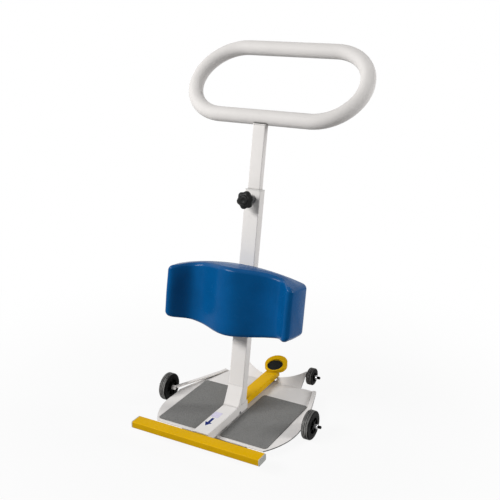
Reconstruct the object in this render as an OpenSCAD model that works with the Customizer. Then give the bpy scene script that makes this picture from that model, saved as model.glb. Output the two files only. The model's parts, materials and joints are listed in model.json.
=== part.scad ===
// Patient turner: a standing turntable with foot pads, a knee pad, a hand ring
// and a front bar on a tube that slides through the beam under the column.
// Millimetres. The origin is on the turntable axis at floor level.
// +Z is up and +Y points to the helper's side.

/* [Turntable] */
// Radius of the floor disc
disc_r = 150; // [130:1:165]
// Thickness of the floor disc
disc_t = 5; // [4:0.5:6]
// Thickness of the rubber sheet under the floor disc
grip_t = 4; // [3:0.5:5]
// Inner radius of the bearing races
race_r = 60; // [50:1:75]
// Radial width of the bearing races
race_w = 35; // [20:1:45]
// Thickness of the bearing plate's web
web_t = 5; // [4:0.5:6]
// Diameter of the centre pin
pin_d = 24; // [18:1:30]
// Diameter of the centre pin's flange
flange_d = 64; // [50:1:90]
// Thickness of the centre pin's flange
flange_t = 3; // [2:0.5:4]
// Wall of the bush around the centre pin
bush_wall = 4; // [3:0.5:5]
// Thickness of the retaining ring on the centre pin
clip_t = 1.5; // [1:0.1:2]
// Depth of the retaining ring's groove
clip_groove = 1; // [0.5:0.1:1.5]

/* [Base plate] */
// Height of the plate's upper face above the floor
plate_top = 26.5; // [25:0.5:32]
// Thickness of the plate
plate_t = 4; // [3:0.5:5]
// Radius of the plate's round front
plate_r = 222; // [216:1:226]
// Distance of the straight front edge from the turntable axis
plate_front = 132; // [126:1:140]
// Reach of the wings' widest point beyond the plate's round
wing_out = 2; // [0:0.5:4]
// Distance of the wings' widest point behind the axis
wing_y = 61; // [50:1:80]
// Half width of the wings at their back corners
wing_back_x = 166; // [160:1:170]
// Distance of the wings' back edge behind the axis
wing_back_y = 251; // [246:1:270]
// Half width of the bent flap at its bend
flap_x = 113.5; // [112:0.5:116]
// Half width of the bent flap at its tips
flap_tip_x = 112; // [111:0.5:113]
// Distance of the bend behind the axis
bend_y = 246; // [240:1:250]
// Distance of the flap's tips behind the axis
flap_tip_y = 294; // [290:1:298]
// Angle of the flap to the floor
flap_angle = 40; // [36:1:44]
// Radius of the concave rear edge
cove_r = 197; // [192:1:199]
// Distance of the concave edge's centre behind the axis
cove_y = 457.5; // [455:0.5:462]
// Gap between the flap and the wings
flap_relief = 2; // [1:0.5:4]
// Clearance of the slide tube in the flap's notch
notch_gap = 2; // [1:0.5:4]

/* [Foot pads] */
// Gap between the two foot pads
foot_gap = 60.6; // [54:0.2:70]
// Width of a foot pad
foot_w = 151; // [130:1:156]
// Length of a foot pad
foot_l = 273.5; // [240:0.5:280]
// Distance of the foot pads from the plate's front edge
foot_setback = 11; // [8:1:20]
// Thickness of a foot pad
foot_t = 2; // [1:0.5:4]
// Corner radius of a foot pad
foot_corner_r = 9; // [4:1:16]
// Gap between a foot pad and the wheel strut beside it
foot_strut_gap = 1.5; // [1:0.5:2.5]

/* [Side wheels] */
// Radius of a side wheel
wheel_r = 43.4; // [38:0.2:48]
// Width of a side wheel
wheel_w = 23; // [18:1:26]
// Distance of a side wheel's middle beyond the plate's round
wheel_out = 23.8; // [22:0.2:30]
// Distance of the side wheels' axle behind the turntable axis
wheel_y = 32; // [20:1:45]
// Height of the side wheels above the floor
wheel_lift = 1; // [0.5:0.5:4]
// Radius of the side wheels' rim
rim_r = 30; // [26:0.5:34]
// Diameter of the side wheels' axle
axle_d = 10; // [8:0.5:12]
// Diameter of the axles' stems in their eyes
stem_d = 7; // [6:0.5:8]
// Diameter of the eyes that hold the axles
eye_d = 14; // [13:0.5:16]
// Length of the eyes
eye_l = 10; // [8:0.5:12]
// Distance of an eye's outer face from the wheel
eye_gap = 1.5; // [1:0.1:2.5]
// Width of the struts that carry the eyes
strut_w = 11; // [9:0.5:12]
// Thickness of the struts
strut_t = 5; // [4:0.5:7]
// Length of a strut's foot on the plate
strut_foot_l = 24; // [16:1:40]
// Distance of a strut's rear end from the centre plane
strut_back_x = 160.5; // [158:0.5:161]
// Distance of a strut's rear end behind the turntable axis
strut_back_y = 247; // [240:1:247]

/* [Rear wheels] */
// Radius of a rear wheel
rear_r = 27.5; // [24:0.5:30]
// Width of a rear wheel
rear_w = 20; // [16:1:22]
// Distance of a rear wheel's middle from the centre plane
rear_x = 129.5; // [129:0.5:134]
// Distance of the rear axle along the flap from the bend
rear_v = 54.5; // [53:0.5:56]
// Depth of the rear axle under the flap's upper face
rear_drop = 10; // [9.5:0.5:12]
// Radius of the rear wheels' rim
rear_rim_r = 18; // [15:0.5:20]
// Diameter of the rear axles
rear_axle_d = 8; // [6:0.5:9]
// Width of the rear axle's block
rear_lug_w = 8; // [6:0.5:9]
// Distance of the block's outer face from the wheel
rear_lug_gap = 7.5; // [7:0.5:9]
// Radius of the block round the rear axle
rear_lug_r = 7; // [6.5:0.5:8]

/* [Axle ends] */
// Diameter of the collars on the axles
collar_d = 14; // [13:0.5:16]
// Length of the collars outside the side wheels
collar_l = 13; // [8:1:16]
// Length of the collars outside the rear wheels
rear_collar_l = 9; // [6:1:12]
// Length of the caps on the axle ends
cap_l = 10; // [6:1:14]
// Diameter of the caps
cap_d = 9; // [8:0.5:12]
// Diameter of the axles' ends under the caps
tip_d = 5; // [4:0.5:6]

/* [Beam] */
// Width of the beam tube
beam_w = 50; // [48:1:54]
// Height of the beam tube
beam_h = 30; // [29:0.5:34]
// Wall of the beam tube
beam_wall = 2; // [1.5:0.5:2.5]
// Distance of the beam's front end from the turntable axis
beam_front = 174.6; // [165:0.2:190]
// Distance of the beam's back end behind the turntable axis
beam_back = 56; // [52:1:75]
// Outer corner radius of the square tubes
tube_corner_r = 3; // [2.6:0.1:4]

/* [Slide bar] */
// Length of the front bar over its end caps
bar_l = 420; // [360:5:460]
// Width of the front bar's tube
bar_w = 40; // [36:1:42]
// Height of the front bar's tube
bar_h = 20; // [18:0.5:21]
// Wall of the front bar's tube
bar_wall = 2; // [1.5:0.5:2.5]
// Height of the front bar's underside above the floor
bar_lift = 33; // [32:0.5:34]
// Thickness of the front bar's end caps
bar_cap_t = 2.5; // [2:0.5:5]
// Distance of the slide tube's back end behind the turntable axis
arm_back = 277; // [270:1:300]
// Travel of the front bar
slide_travel = 150; // [100:5:160]
// Length of the front guide in the beam
guide_front_l = 25; // [15:1:40]
// Length of the rear guide in the beam
guide_back_l = 54; // [50:1:60]
// Diameter of the guide screws' heads
screw_head_d = 7.5; // [6:0.5:9]
// Diameter of the guide screws
screw_d = 5; // [4:0.5:6]
// Distance of the stop screw in front of the turntable axis
stop_y = 110; // [100:1:125]
// Distance of the guide screw behind the turntable axis
guide_screw_y = 10; // [8:1:14]

/* [Pedal] */
// Diameter of the pedal cup
pedal_d = 74; // [66:1:84]
// Distance of the pedal cup's middle behind the turntable axis
pedal_y = 295; // [290:1:310]
// Height of the cup's rim at its front
pedal_front_h = 7; // [2:0.5:9]
// Slope of the cup's rim
pedal_rim_angle = 16; // [14:1:22]
// Slope of the cup's floor
pedal_floor_angle = 14; // [8:1:14]
// Slope of the cup's underside behind the slide tube
pedal_under_angle = 12; // [6:1:12]
// Diameter of the cup's pocket
pocket_d = 52; // [46:1:54]
// Distance of the pocket's middle in front of the cup's middle
pocket_shift = 8; // [4:0.5:8]
// Thickness of the cup's floor at its front
pedal_floor_t = 1.2; // [1:0.1:2]
// Thickness of the rubber in the cup
pedal_rubber_t = 3.5; // [2:0.5:4]

/* [Column] */
// Distance of the column's axis behind the turntable axis, at the floor
col_y = 23.5; // [15:0.5:26]
// Lean of the column to the back
col_lean = 10.2; // [6:0.2:12]
// Width of the column tube
col_w = 50; // [48:1:54]
// Depth of the column tube
col_d = 30; // [28:1:34]
// Wall of the column tube
col_wall = 2; // [1.5:0.5:2.5]
// Height of the column tube's top end along its axis
col_top = 699; // [660:1:740]
// Width of the inner tube
mast_w = 40; // [36:1:42]
// Depth of the inner tube
mast_d = 20; // [18:1:22]
// Wall of the inner tube
mast_wall = 2; // [1.5:0.5:2.5]
// Thickness of the plate that closes the inner tube under the hand ring
mast_end_t = 4; // [3:0.5:6]
// Height of the inner tube's lower end along the column's axis
mast_foot = 460; // [440:1:500]
// Length of the sleeve in the column's top end
sleeve_l = 60; // [50:1:90]
// Thickness of the sleeve's rim
sleeve_rim_t = 3; // [2:0.5:5]
// Length of the glide under the inner tube
glide_l = 30; // [20:1:50]
// Length of the glide's spigot inside the inner tube
spigot_l = 20; // [10:1:40]
// Distance of the gusset's foot in front of the turntable axis
gusset_front = 3; // [0:1:12]
// Height of the gusset's top above the floor
gusset_top = 112; // [95:1:140]
// Sheet thickness of the gusset
gusset_t = 3; // [2:0.5:4]

/* [Clamp knob] */
// Height of the knob's axis along the column
knob_s = 673; // [655:1:680]
// Diameter of the knob
knob_d = 53; // [46:1:56]
// Turn of the knob at rest
knob_turn = 18; // [0:1:60]
// Number of lobes on the knob
knob_lobes = 6; // [5:1:9]
// Radius of the hollows between the lobes
knob_hollow_r = 8; // [6:0.5:9]
// Depth of the hollows between the lobes
knob_hollow_depth = 3.5; // [3:0.5:6]
// Thickness of the knob's star
knob_t = 17; // [12:1:22]
// Diameter of the knob's neck
knob_neck_d = 22; // [18:1:26]
// Length of the knob's neck
knob_neck_l = 16; // [10:1:20]
// Diameter of the knob's middle cap
knob_cap_d = 25; // [18:1:30]
// Height of the knob's middle cap
knob_cap_h = 2; // [1:0.5:4]
// Diameter of the threaded boss on the column
boss_d = 24; // [20:1:30]
// Length of the threaded boss
boss_l = 16; // [10:1:20]
// Gap between the boss and the knob
knob_gap = 1.5; // [1:0.5:4]
// Diameter of the clamp screw
stud_d = 8; // [6:1:10]

/* [Hand ring] */
// Diameter of the ring's tube
ring_d = 44.4; // [36:0.4:48]
// Wall of the ring's tube
ring_wall = 2; // [1.5:0.5:3]
// Length of the ring's straight sides
ring_straight = 290; // [200:5:360]
// Radius of the ring's ends at the middle of the tube
ring_end_r = 129; // [100:1:150]
// Lean of the ring to the back
ring_lean = 46.8; // [30:0.2:60]
// Height of the ring's lower side along the column's axis
ring_s = 908.5; // [880:0.5:940]

/* [Knee pad] */
// Width of the knee pad
pad_w = 410; // [360:2:440]
// Thickness of the pad at its outer horns
pad_horn_t = 105; // [85:1:115]
// Thickness of the pad in its knee channels
pad_channel_t = 56; // [45:1:65]
// Thickness of the pad in its middle
pad_bump_t = 95; // [75:1:105]
// Distance of the deepest line of a channel from the middle
pad_channel_x = 128; // [100:1:135]
// Distance of a horn's crest from the middle
pad_horn_x = 193; // [165:1:195]
// Height of the pad in its middle
pad_mid_h = 200; // [170:1:220]
// Height of the pad at its ends
pad_end_h = 148; // [130:1:170]
// Radius of the pad's edges
pad_edge_r = 13; // [8:0.5:18]
// Height of the pad's middle along the column
pad_s = 383; // [340:1:400]
// Width of the plate behind the pad
back_w = 220; // [180:2:260]
// Height of the plate behind the pad
back_h = 90; // [70:1:110]
// Thickness of the plate behind the pad
back_t = 4; // [3:0.5:6]
// Distance of the pad's bolts from the middle
bolt_x = 85; // [60:1:92]
// Diameter of the pad's bolts
bolt_d = 8; // [6:1:10]
// Diameter of the pad's bolt heads
bolt_head_d = 16; // [12:1:20]
// Depth of the pad's bolts in the pad
bolt_depth = 22; // [15:1:30]

/* [Fits] */
// Radial clearance of shafts that turn
run_fit = 0.08; // [0.04:0.01:0.1]
// Clearance of pieces fixed in one another
set_fit = 0.05; // [0.02:0.01:0.1]
// Clearance of sliding tubes
slide_fit = 0.3; // [0.3:0.05:0.5]
// Clearance of pieces that only pass one another
free_gap = 0.3; // [0.3:0.05:0.5]

/* [Hidden] */
$fn = 48;
// Overrun of all cuts
cut = 1;
// Facets along the pad, round one of its edges and round one of its ends
pad_steps = 30;
pad_edge_steps = 4;
pad_end_steps = 4;
// Turn of the pad's first end ring away from its end face
pad_end_angle = 15;
// Height of a lower race in the space between the disc and the plate
race_split_share = 0.5;
// Height of the inner tube's square end below the ring's middle, in ring radii
mast_end_share = 0.9;
// Slimmest inner corner of a tube as a share of its outer corner
inner_corner_share = 0.2;
// Depth of the screws in the walls behind them
screw_bite = 2;
// Height of the screw heads
screw_head_h = 2.5;
// Height of the stop screw over the slide tube's middle
stop_rise = 3;
// Height of the guide screw under the slide tube's middle
guide_screw_drop = 8;
// Thickness of the pad's bolt heads
bolt_head_h = 6;
// Depth of plugs in the tubes they close
plug_depth = 12;
// Wall of the hollow plugs
plug_wall = 2;
// Width of the grooves in the tyres
groove_w = 2;
// Depth of the grooves in the tyres
groove_depth = 1.2;
// Places of the grooves across the tyre, as shares of its width
groove_shares = [-0.22, 0, 0.22];
// Depth of the dish in the wheels' hubs
hub_dish = 5;
// Rounding of the tyres' shoulders as a share of the tyre's depth
shoulder_share = 0.37;
// Wall of a hub at its axle and at its rim, as a share of its depth
hub_wall_share = 0.25;
// Rounding of the axle caps as a share of their radius
cap_round_share = 0.5;
// Distance of the wings' front corners inside the plate's round edge
wing_inset = 2;

disc_top = grip_t + disc_t;
plate_under = plate_top - plate_t;
race_mid = disc_top + (plate_under - disc_top) * race_split_share;
bush_r = pin_d / 2 + run_fit + bush_wall;
pin_top = plate_top - free_gap;
clip_low = pin_top - 2 * clip_t;
bend_mitre = plate_t * tan(flap_angle / 2);
notch_y = bend_y + (bar_lift - notch_gap - plate_top) / tan(flap_angle);
wing_x = plate_r + wing_out;
wheel_x = plate_r + wheel_out;
edge_run = [wing_back_x - wing_x, wing_back_y - wing_y];
beam_top = plate_top + beam_h;
beam_mid = plate_top + beam_h / 2;
arm_mid = bar_lift + bar_h / 2;
arm_top = bar_lift + bar_h;
bar_back = -beam_front - free_gap;
axle_z = wheel_lift + wheel_r;
eye_out = wheel_x - wheel_w / 2 - eye_gap;
strut_run = [eye_out - eye_l / 2 - strut_back_x, wheel_y - strut_back_y];
axle_out = wheel_x + wheel_w / 2 + free_gap + collar_l;
rear_lug_out = rear_x - rear_w / 2 - rear_lug_gap;
rear_axle_out = rear_x + rear_w / 2 + free_gap + rear_collar_l;
rear_y = bend_y + rear_v * cos(flap_angle) + rear_drop * sin(flap_angle);
rear_z = plate_top + rear_v * sin(flap_angle) - rear_drop * cos(flap_angle);
ring_r = ring_d / 2;
ring_setback = ring_r - mast_d / 2;
cap_round = cap_d / 2 * cap_round_share;
knob_low = boss_l + knob_gap;
knob_star = knob_low + knob_neck_l;
knob_face = knob_star + knob_t;
stud_tip = -(col_d - mast_d) / 2 + free_gap;
pad_back = col_d / 2 + back_t + free_gap;
rim_front_y = pedal_y - pedal_d / 2;
rim_front_z = arm_top + pedal_front_h;
floor_front_z = arm_top + pedal_floor_t;

// Shared shapes

module rounded_rect(w, l, r) {
    square([w - 2 * r, l], center = true);
    square([w, l - 2 * r], center = true);
    for (sx = [-1, 1], sy = [-1, 1])
        translate([sx * (w / 2 - r), sy * (l / 2 - r)]) circle(r = r);
}

// Section of a square tube with round corners
module tube_section(w, d, wall) {
    inner_r = max(tube_corner_r - wall, tube_corner_r * inner_corner_share);
    difference() {
        rounded_rect(w, d, tube_corner_r);
        rounded_rect(w - 2 * wall, d - 2 * wall, inner_r);
    }
}

// A section in X and Z, drawn out along +Y from y0 to y1 at height z
module along_y(y0, y1, z) {
    translate([0, y1, z]) rotate([90, 0, 0]) linear_extrude(y1 - y0) children();
}

// A round bar along X
module bar_x(r, x0, x1) {
    translate([x0, 0, 0]) rotate([0, 90, 0]) cylinder(r = r, h = x1 - x0);
}

// The space above a plane through (y, z) that rises towards +Y
module above_plane(y, z, slope, reach) {
    translate([0, y, z]) rotate([slope, 0, 0])
        translate([-reach, -reach, 0]) cube([2 * reach, 2 * reach, reach]);
}

// The same on both sides, or on one side: +1 is right, -1 is left
module on_side(side) {
    if (side > 0) children();
    else mirror([1, 0, 0]) children();
}

// Frames of the leaning column, its knob and the bent flap
module at_column() {
    translate([0, col_y, 0]) rotate([-col_lean, 0, 0]) children();
}

module at_knob() {
    at_column() translate([0, -col_d / 2, knob_s]) rotate([90, 0, 0]) children();
}

module at_flap() {
    translate([0, bend_y, plate_top]) rotate([flap_angle, 0, 0]) children();
}

function column_front(z) = col_y + z * tan(col_lean) - col_d / 2 / cos(col_lean);

// Turntable

module floor_grip() {
    color("dimgray") cylinder(r = disc_r, h = grip_t, $fn = 96);
}

module floor_disc() {
    color("gainsboro") translate([0, 0, grip_t]) cylinder(r = disc_r, h = disc_t, $fn = 96);
}

module lower_race() {
    color("silver") translate([0, 0, disc_top]) difference() {
        cylinder(r = race_r + race_w, h = race_mid - disc_top, $fn = 96);
        translate([0, 0, -cut]) cylinder(r = race_r, h = race_mid + cut, $fn = 96);
    }
}

module centre_pin() {
    color("silver") difference() {
        union() {
            translate([0, 0, disc_top]) cylinder(d = flange_d, h = flange_t);
            translate([0, 0, disc_top]) cylinder(d = pin_d, h = pin_top - disc_top);
        }
        translate([0, 0, clip_low]) difference() {
            cylinder(d = pin_d + 2 * cut, h = clip_t);
            translate([0, 0, -cut]) cylinder(d = pin_d - 2 * clip_groove, h = clip_t + 2 * cut);
        }
    }
}

module pin_clip() {
    color("dimgray") translate([0, 0, clip_low + set_fit]) difference() {
        cylinder(r = bush_r - bush_wall / 2, h = clip_t - 2 * set_fit);
        translate([0, 0, -cut]) cylinder(d = pin_d - 2 * clip_groove + 2 * set_fit, h = clip_t + 2 * cut);
    }
}

module bearing_plate() {
    color("silver") difference() {
        union() {
            translate([0, 0, plate_under - web_t]) cylinder(r = race_r + race_w, h = web_t, $fn = 96);
            translate([0, 0, race_mid]) difference() {
                cylinder(r = race_r + race_w, h = plate_under - race_mid, $fn = 96);
                translate([0, 0, -cut]) cylinder(r = race_r, h = plate_under, $fn = 96);
            }
        }
        cylinder(r = bush_r + set_fit, h = plate_top);
    }
}

module centre_bush() {
    bush_low = disc_top + flange_t + free_gap;
    color("goldenrod") translate([0, 0, bush_low]) difference() {
        cylinder(r = bush_r, h = clip_low - free_gap - bush_low);
        translate([0, 0, -cut]) cylinder(d = pin_d + 2 * run_fit, h = clip_low);
    }
}

// Base plate

module wings() {
    right = [
        [plate_r - wing_inset, 0], [wing_x, wing_y], [wing_back_x, wing_back_y],
        [flap_x + flap_relief, wing_back_y], [flap_x + flap_relief, bend_y + bend_mitre / 2]
    ];
    left = [for (i = [len(right) - 1 : -1 : 0]) [-right[i].x, right[i].y]];
    polygon(concat(right, left));
}

module base_plate() {
    color("gainsboro") difference() {
        union() {
            translate([0, 0, plate_under]) linear_extrude(plate_t) difference() {
                union() {
                    circle(r = plate_r, $fn = 128);
                    wings();
                }
                translate([-2 * plate_r, -2 * plate_r - plate_front]) square([4 * plate_r, 2 * plate_r]);
            }
            intersection() {
                at_flap() translate([-flap_x, -bend_mitre, -plate_t])
                    cube([2 * flap_x, 2 * flap_tip_y, plate_t]);
                linear_extrude(flap_tip_y) difference() {
                    polygon([
                        [-flap_x, bend_y - bend_mitre], [flap_x, bend_y - bend_mitre],
                        [flap_tip_x, flap_tip_y], [-flap_tip_x, flap_tip_y]
                    ]);
                    translate([0, cove_y]) circle(r = cove_r, $fn = 128);
                    translate([-bar_w / 2 - notch_gap, notch_y])
                        square([bar_w + 2 * notch_gap, flap_tip_y]);
                }
            }
        }
        cylinder(r = bush_r + set_fit, h = plate_top + cut);
    }
}

// Frame of a slanted edge: +X runs to the back along it and +Y to the inside
module at_edge() {
    translate([wing_x, wing_y]) rotate([0, 0, atan2(edge_run.y, edge_run.x)]) children();
}

// A wheel's strut lies on the plate with its foot and rises to the axle's eye
module wheel_strut(side) {
    run = norm(strut_run);
    rise = axle_z - plate_top;
    color("gainsboro") on_side(side) difference() {
        translate([strut_back_x, strut_back_y, plate_top])
            rotate([90, 0, atan2(strut_run.y, strut_run.x)])
            translate([0, 0, -strut_w / 2]) linear_extrude(strut_w) polygon([
                [0, 0], [strut_foot_l, 0], [run, rise - strut_t / 2],
                [run, rise + strut_t / 2], [strut_foot_l, strut_t], [0, strut_t]
            ]);
        translate([0, wheel_y, axle_z])
            bar_x(eye_d / 2 + set_fit, eye_out - 2 * eye_l, eye_out + eye_l);
    }
}

// A foot pad stops short of the wheel strut beside it
module foot_pad(side) {
    color("gray") on_side(side) translate([0, 0, plate_top]) linear_extrude(foot_t) difference() {
        translate([foot_gap / 2 + foot_w / 2, foot_l / 2 - plate_front + foot_setback])
            rounded_rect(foot_w, foot_l, foot_corner_r);
        at_edge() translate([-2 * plate_r, -2 * plate_r])
            square([4 * plate_r, 2 * plate_r + strut_w + foot_strut_gap]);
    }
}

// Beam and its guides

module beam() {
    color("gainsboro") difference() {
        along_y(-beam_front, beam_back, beam_mid) tube_section(beam_w, beam_h, beam_wall);
        on_side(-1) translate([0, -stop_y, arm_mid + stop_rise])
            bar_x(screw_d / 2 + set_fit, beam_w / 2 - 2 * beam_wall, beam_w / 2 + cut);
        translate([0, guide_screw_y, arm_mid - guide_screw_drop])
            bar_x(screw_d / 2 + set_fit, beam_w / 2 - 2 * beam_wall, beam_w / 2 + cut);
    }
}

// Plastic guide between the beam and the slide tube
module guide(y0, y1) {
    fill_w = beam_w - 2 * beam_wall - 2 * set_fit;
    fill_h = beam_h - 2 * beam_wall - 2 * set_fit;
    along_y(y0, y1, 0) difference() {
        translate([0, beam_mid]) rounded_rect(fill_w, fill_h, tube_corner_r - beam_wall + set_fit);
        translate([0, arm_mid])
            rounded_rect(bar_w + 2 * slide_fit, bar_h + 2 * slide_fit, tube_corner_r);
    }
}

module guide_front() {
    color("darkgray") guide(-beam_front, guide_front_l - beam_front);
}

module guide_back() {
    color("darkgray") difference() {
        guide(beam_back - guide_back_l, beam_back);
        translate([0, guide_screw_y, arm_mid - guide_screw_drop])
            bar_x(screw_d / 2 + set_fit, beam_w / 2 - beam_wall - screw_bite, beam_w / 2);
    }
}

module guide_screw(y, z, x_tip) {
    translate([0, y, z]) {
        bar_x(screw_d / 2, x_tip, beam_w / 2 + screw_head_h);
        bar_x(screw_head_d / 2, beam_w / 2, beam_w / 2 + screw_head_h);
    }
}

// The stop screw's end runs in the slot of the slide tube
module guide_screws() {
    color("dimgray") {
        on_side(-1) guide_screw(-stop_y, arm_mid + stop_rise, bar_w / 2 - bar_wall);
        guide_screw(guide_screw_y, arm_mid - guide_screw_drop,
            beam_w / 2 - beam_wall - screw_bite + set_fit);
    }
}

// Column

module column() {
    color("gainsboro") difference() {
        at_column() linear_extrude(col_top) tube_section(col_w, col_d, col_wall);
        translate([-col_w, col_y - col_w, -beam_top]) cube([2 * col_w, 2 * col_w, 2 * beam_top]);
        at_knob() translate([0, 0, -2 * col_wall])
            cylinder(d = stud_d + 2 * free_gap, h = 4 * col_wall);
    }
}

// Boxed wedge between the beam and the front of the column
module gusset() {
    foot = [-gusset_front, beam_top];
    heel = [column_front(beam_top), beam_top];
    tip = [column_front(gusset_top), gusset_top];
    slope = atan2(tip.y - foot.y, tip.x - foot.x);
    inner_foot = foot.x + gusset_t / sin(slope);
    inner_tip = tip - (gusset_t / sin(90 - col_lean - slope)) * [sin(col_lean), cos(col_lean)];
    color("gainsboro") rotate([90, 0, 90]) difference() {
        translate([0, 0, -beam_w / 2]) linear_extrude(beam_w) polygon([foot, heel, tip]);
        translate([0, 0, gusset_t - beam_w / 2]) linear_extrude(beam_w - 2 * gusset_t)
            polygon([
                [inner_foot, foot.y - cut], [inner_foot, foot.y], inner_tip,
                [inner_tip.x + cut, inner_tip.y], [heel.x + cut, heel.y - cut]
            ]);
    }
}

// Plastic sleeve that guides the inner tube in the column's top end
module column_sleeve() {
    fill_w = col_w - 2 * col_wall - 2 * set_fit;
    fill_d = col_d - 2 * col_wall - 2 * set_fit;
    color("whitesmoke") difference() {
        at_column() difference() {
            union() {
                translate([0, 0, col_top - sleeve_l]) linear_extrude(sleeve_l)
                    rounded_rect(fill_w, fill_d, tube_corner_r - col_wall + set_fit);
                translate([0, 0, col_top]) linear_extrude(sleeve_rim_t)
                    rounded_rect(col_w, col_d, tube_corner_r);
            }
            translate([0, 0, col_top - sleeve_l - cut]) linear_extrude(2 * sleeve_l)
                rounded_rect(mast_w + 2 * slide_fit, mast_d + 2 * slide_fit, tube_corner_r);
        }
        at_knob() translate([0, 0, -col_d / 2]) cylinder(d = stud_d + 2 * free_gap, h = col_d / 2);
    }
}

module clamp_boss() {
    color("dimgray") at_knob() difference() {
        cylinder(d = boss_d, h = boss_l);
        translate([0, 0, -cut]) cylinder(d = stud_d + 2 * run_fit, h = boss_l + 2 * cut);
    }
}

// Knee pad and its plate

module pad_plate() {
    color("gainsboro") at_column() translate([0, -col_d / 2, pad_s]) rotate([90, 0, 0])
        difference() {
            linear_extrude(back_t) rounded_rect(back_w, back_h, bolt_d);
            for (side = [-1, 1]) translate([side * bolt_x, 0, -cut])
                cylinder(d = bolt_d + 2 * set_fit, h = back_t + 2 * cut);
        }
}

module pad_bolts() {
    color("dimgray") at_column() translate([0, -col_d / 2, pad_s]) rotate([90, 0, 0])
        for (side = [-1, 1]) translate([side * bolt_x, 0, 0]) {
            translate([0, 0, -bolt_head_h]) cylinder(d = bolt_head_d, h = bolt_head_h, $fn = 6);
            cylinder(d = bolt_d, h = back_t + bolt_depth);
        }
}

function ease(u) = (1 - cos(180 * u)) / 2;

// Thickness and half height of the pad at a place across it
function pad_thick(x) = let(a = abs(x)) a < pad_channel_x
    ? pad_bump_t + (pad_channel_t - pad_bump_t) * ease(a / pad_channel_x)
    : pad_channel_t + (pad_horn_t - pad_channel_t)
        * ease(min(1, (a - pad_channel_x) / (pad_horn_x - pad_channel_x)));

function pad_half_h(x) =
    (pad_mid_h + (pad_end_h - pad_mid_h) * pow(2 * x / pad_w, 2)) / 2;

// Places along the pad, with how far each ring is drawn in at the rounded ends
function pad_end_turn(i) = pad_end_angle + (90 - pad_end_angle) * i / pad_end_steps;
pad_left = [for (i = [0 : pad_end_steps])
    [-pad_w / 2 + pad_edge_r * (1 - cos(pad_end_turn(i))), pad_edge_r * (1 - sin(pad_end_turn(i)))]];
pad_inner = [for (i = [1 : pad_steps - 1])
    [(pad_w / 2 - pad_edge_r) * (2 * i / pad_steps - 1), 0]];
pad_right = [for (i = [pad_end_steps : -1 : 0]) [-pad_left[i][0], pad_left[i][1]]];
pad_places = concat(pad_left, pad_inner, pad_right);

// One ring of the pad: its thickness lies along -Y and its height along Z
function pad_ring(x, inset) =
    let(r = pad_edge_r - inset, t = pad_thick(x) - inset, h = pad_half_h(x) - inset)
    [for (corner = [0 : 3], k = [0 : pad_edge_steps])
        let(a = 90 * (corner + k / pad_edge_steps),
            front = corner == 0 || corner == 3 ? t - r : inset + r,
            up = corner < 2 ? h - r : r - h)
        [x, -(front + r * cos(a)), up + r * sin(a)]];

pad_ring_n = 4 * (pad_edge_steps + 1);
pad_last = (len(pad_places) - 1) * pad_ring_n;
pad_points = [for (p = pad_places) each pad_ring(p[0], p[1])];
pad_sides = [for (i = [0 : len(pad_places) - 2], k = [0 : pad_ring_n - 1])
    let(a = i * pad_ring_n + k, b = i * pad_ring_n + (k + 1) % pad_ring_n)
    each [[a, b, b + pad_ring_n], [a, b + pad_ring_n, a + pad_ring_n]]];
pad_caps = [for (k = [1 : pad_ring_n - 2])
    each [[0, k + 1, k], [pad_last, pad_last + k, pad_last + k + 1]]];

module knee_pad() {
    color("steelblue") at_column() translate([0, -pad_back, pad_s])
        polyhedron(points = pad_points, faces = concat(pad_sides, pad_caps));
}

// Wheels and axles

module axle_eye(side) {
    color("gainsboro") on_side(side) translate([0, wheel_y, axle_z]) difference() {
        bar_x(eye_d / 2, eye_out - eye_l, eye_out);
        bar_x(stem_d / 2 + set_fit, eye_out - eye_l - cut, eye_out + cut);
    }
}

module side_axle(side) {
    color("silver") on_side(side) translate([0, wheel_y, axle_z]) {
        bar_x(stem_d / 2, eye_out - eye_l, wheel_x);
        bar_x(eye_d / 2, eye_out, wheel_x - wheel_w / 2 - free_gap);
        bar_x(axle_d / 2, eye_out, axle_out);
        bar_x(tip_d / 2, eye_out, axle_out + cap_l / 2);
    }
}

// A block under the flap's tip, with the rear axle through it
module rear_block(side) {
    hang = rear_drop - plate_t;
    color("gainsboro") on_side(side) at_flap() translate([rear_lug_out - rear_lug_w, rear_v, -plate_t])
        difference() {
            rotate([90, 0, 90]) linear_extrude(rear_lug_w) {
                translate([-rear_lug_r, -hang]) square([2 * rear_lug_r, hang]);
                intersection() {
                    translate([0, -hang]) circle(r = rear_lug_r);
                    translate([-rear_lug_r, -hang - rear_lug_r]) square([2 * rear_lug_r, rear_lug_r]);
                }
            }
            translate([0, 0, -hang]) bar_x(rear_axle_d / 2 + set_fit, -cut, rear_lug_w + cut);
        }
}

module rear_axle(side) {
    color("silver") on_side(side) translate([0, rear_y, rear_z]) {
        bar_x(rear_axle_d / 2, rear_lug_out - rear_lug_w, rear_axle_out);
        bar_x(tip_d / 2, rear_lug_out, rear_axle_out + cap_l / 2);
        bar_x(rear_drop - plate_t - free_gap, rear_lug_out, rear_x - rear_w / 2 - free_gap);
    }
}

module collar(axle, x0, x1) {
    difference() {
        bar_x(collar_d / 2, x0, x1);
        bar_x(axle / 2 + set_fit, x0 - cut, x1 + cut);
    }
}

module axle_collars() {
    color("silver") for (side = [-1, 1]) on_side(side) {
        translate([0, wheel_y, axle_z]) collar(axle_d, axle_out - collar_l, axle_out);
        translate([0, rear_y, rear_z])
            collar(rear_axle_d, rear_axle_out - rear_collar_l, rear_axle_out);
    }
}

// Round-nosed cap over an axle's end
module axle_cap() {
    rotate([90, 0, 90]) difference() {
        rotate_extrude() {
            square([cap_d / 2 - cap_round, cap_l]);
            square([cap_d / 2, cap_l - cap_round]);
            translate([cap_d / 2 - cap_round, cap_l - cap_round]) circle(r = cap_round);
        }
        translate([0, 0, -cut]) cylinder(r = tip_d / 2 + set_fit, h = cap_l / 2 + set_fit + cut);
    }
}

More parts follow.
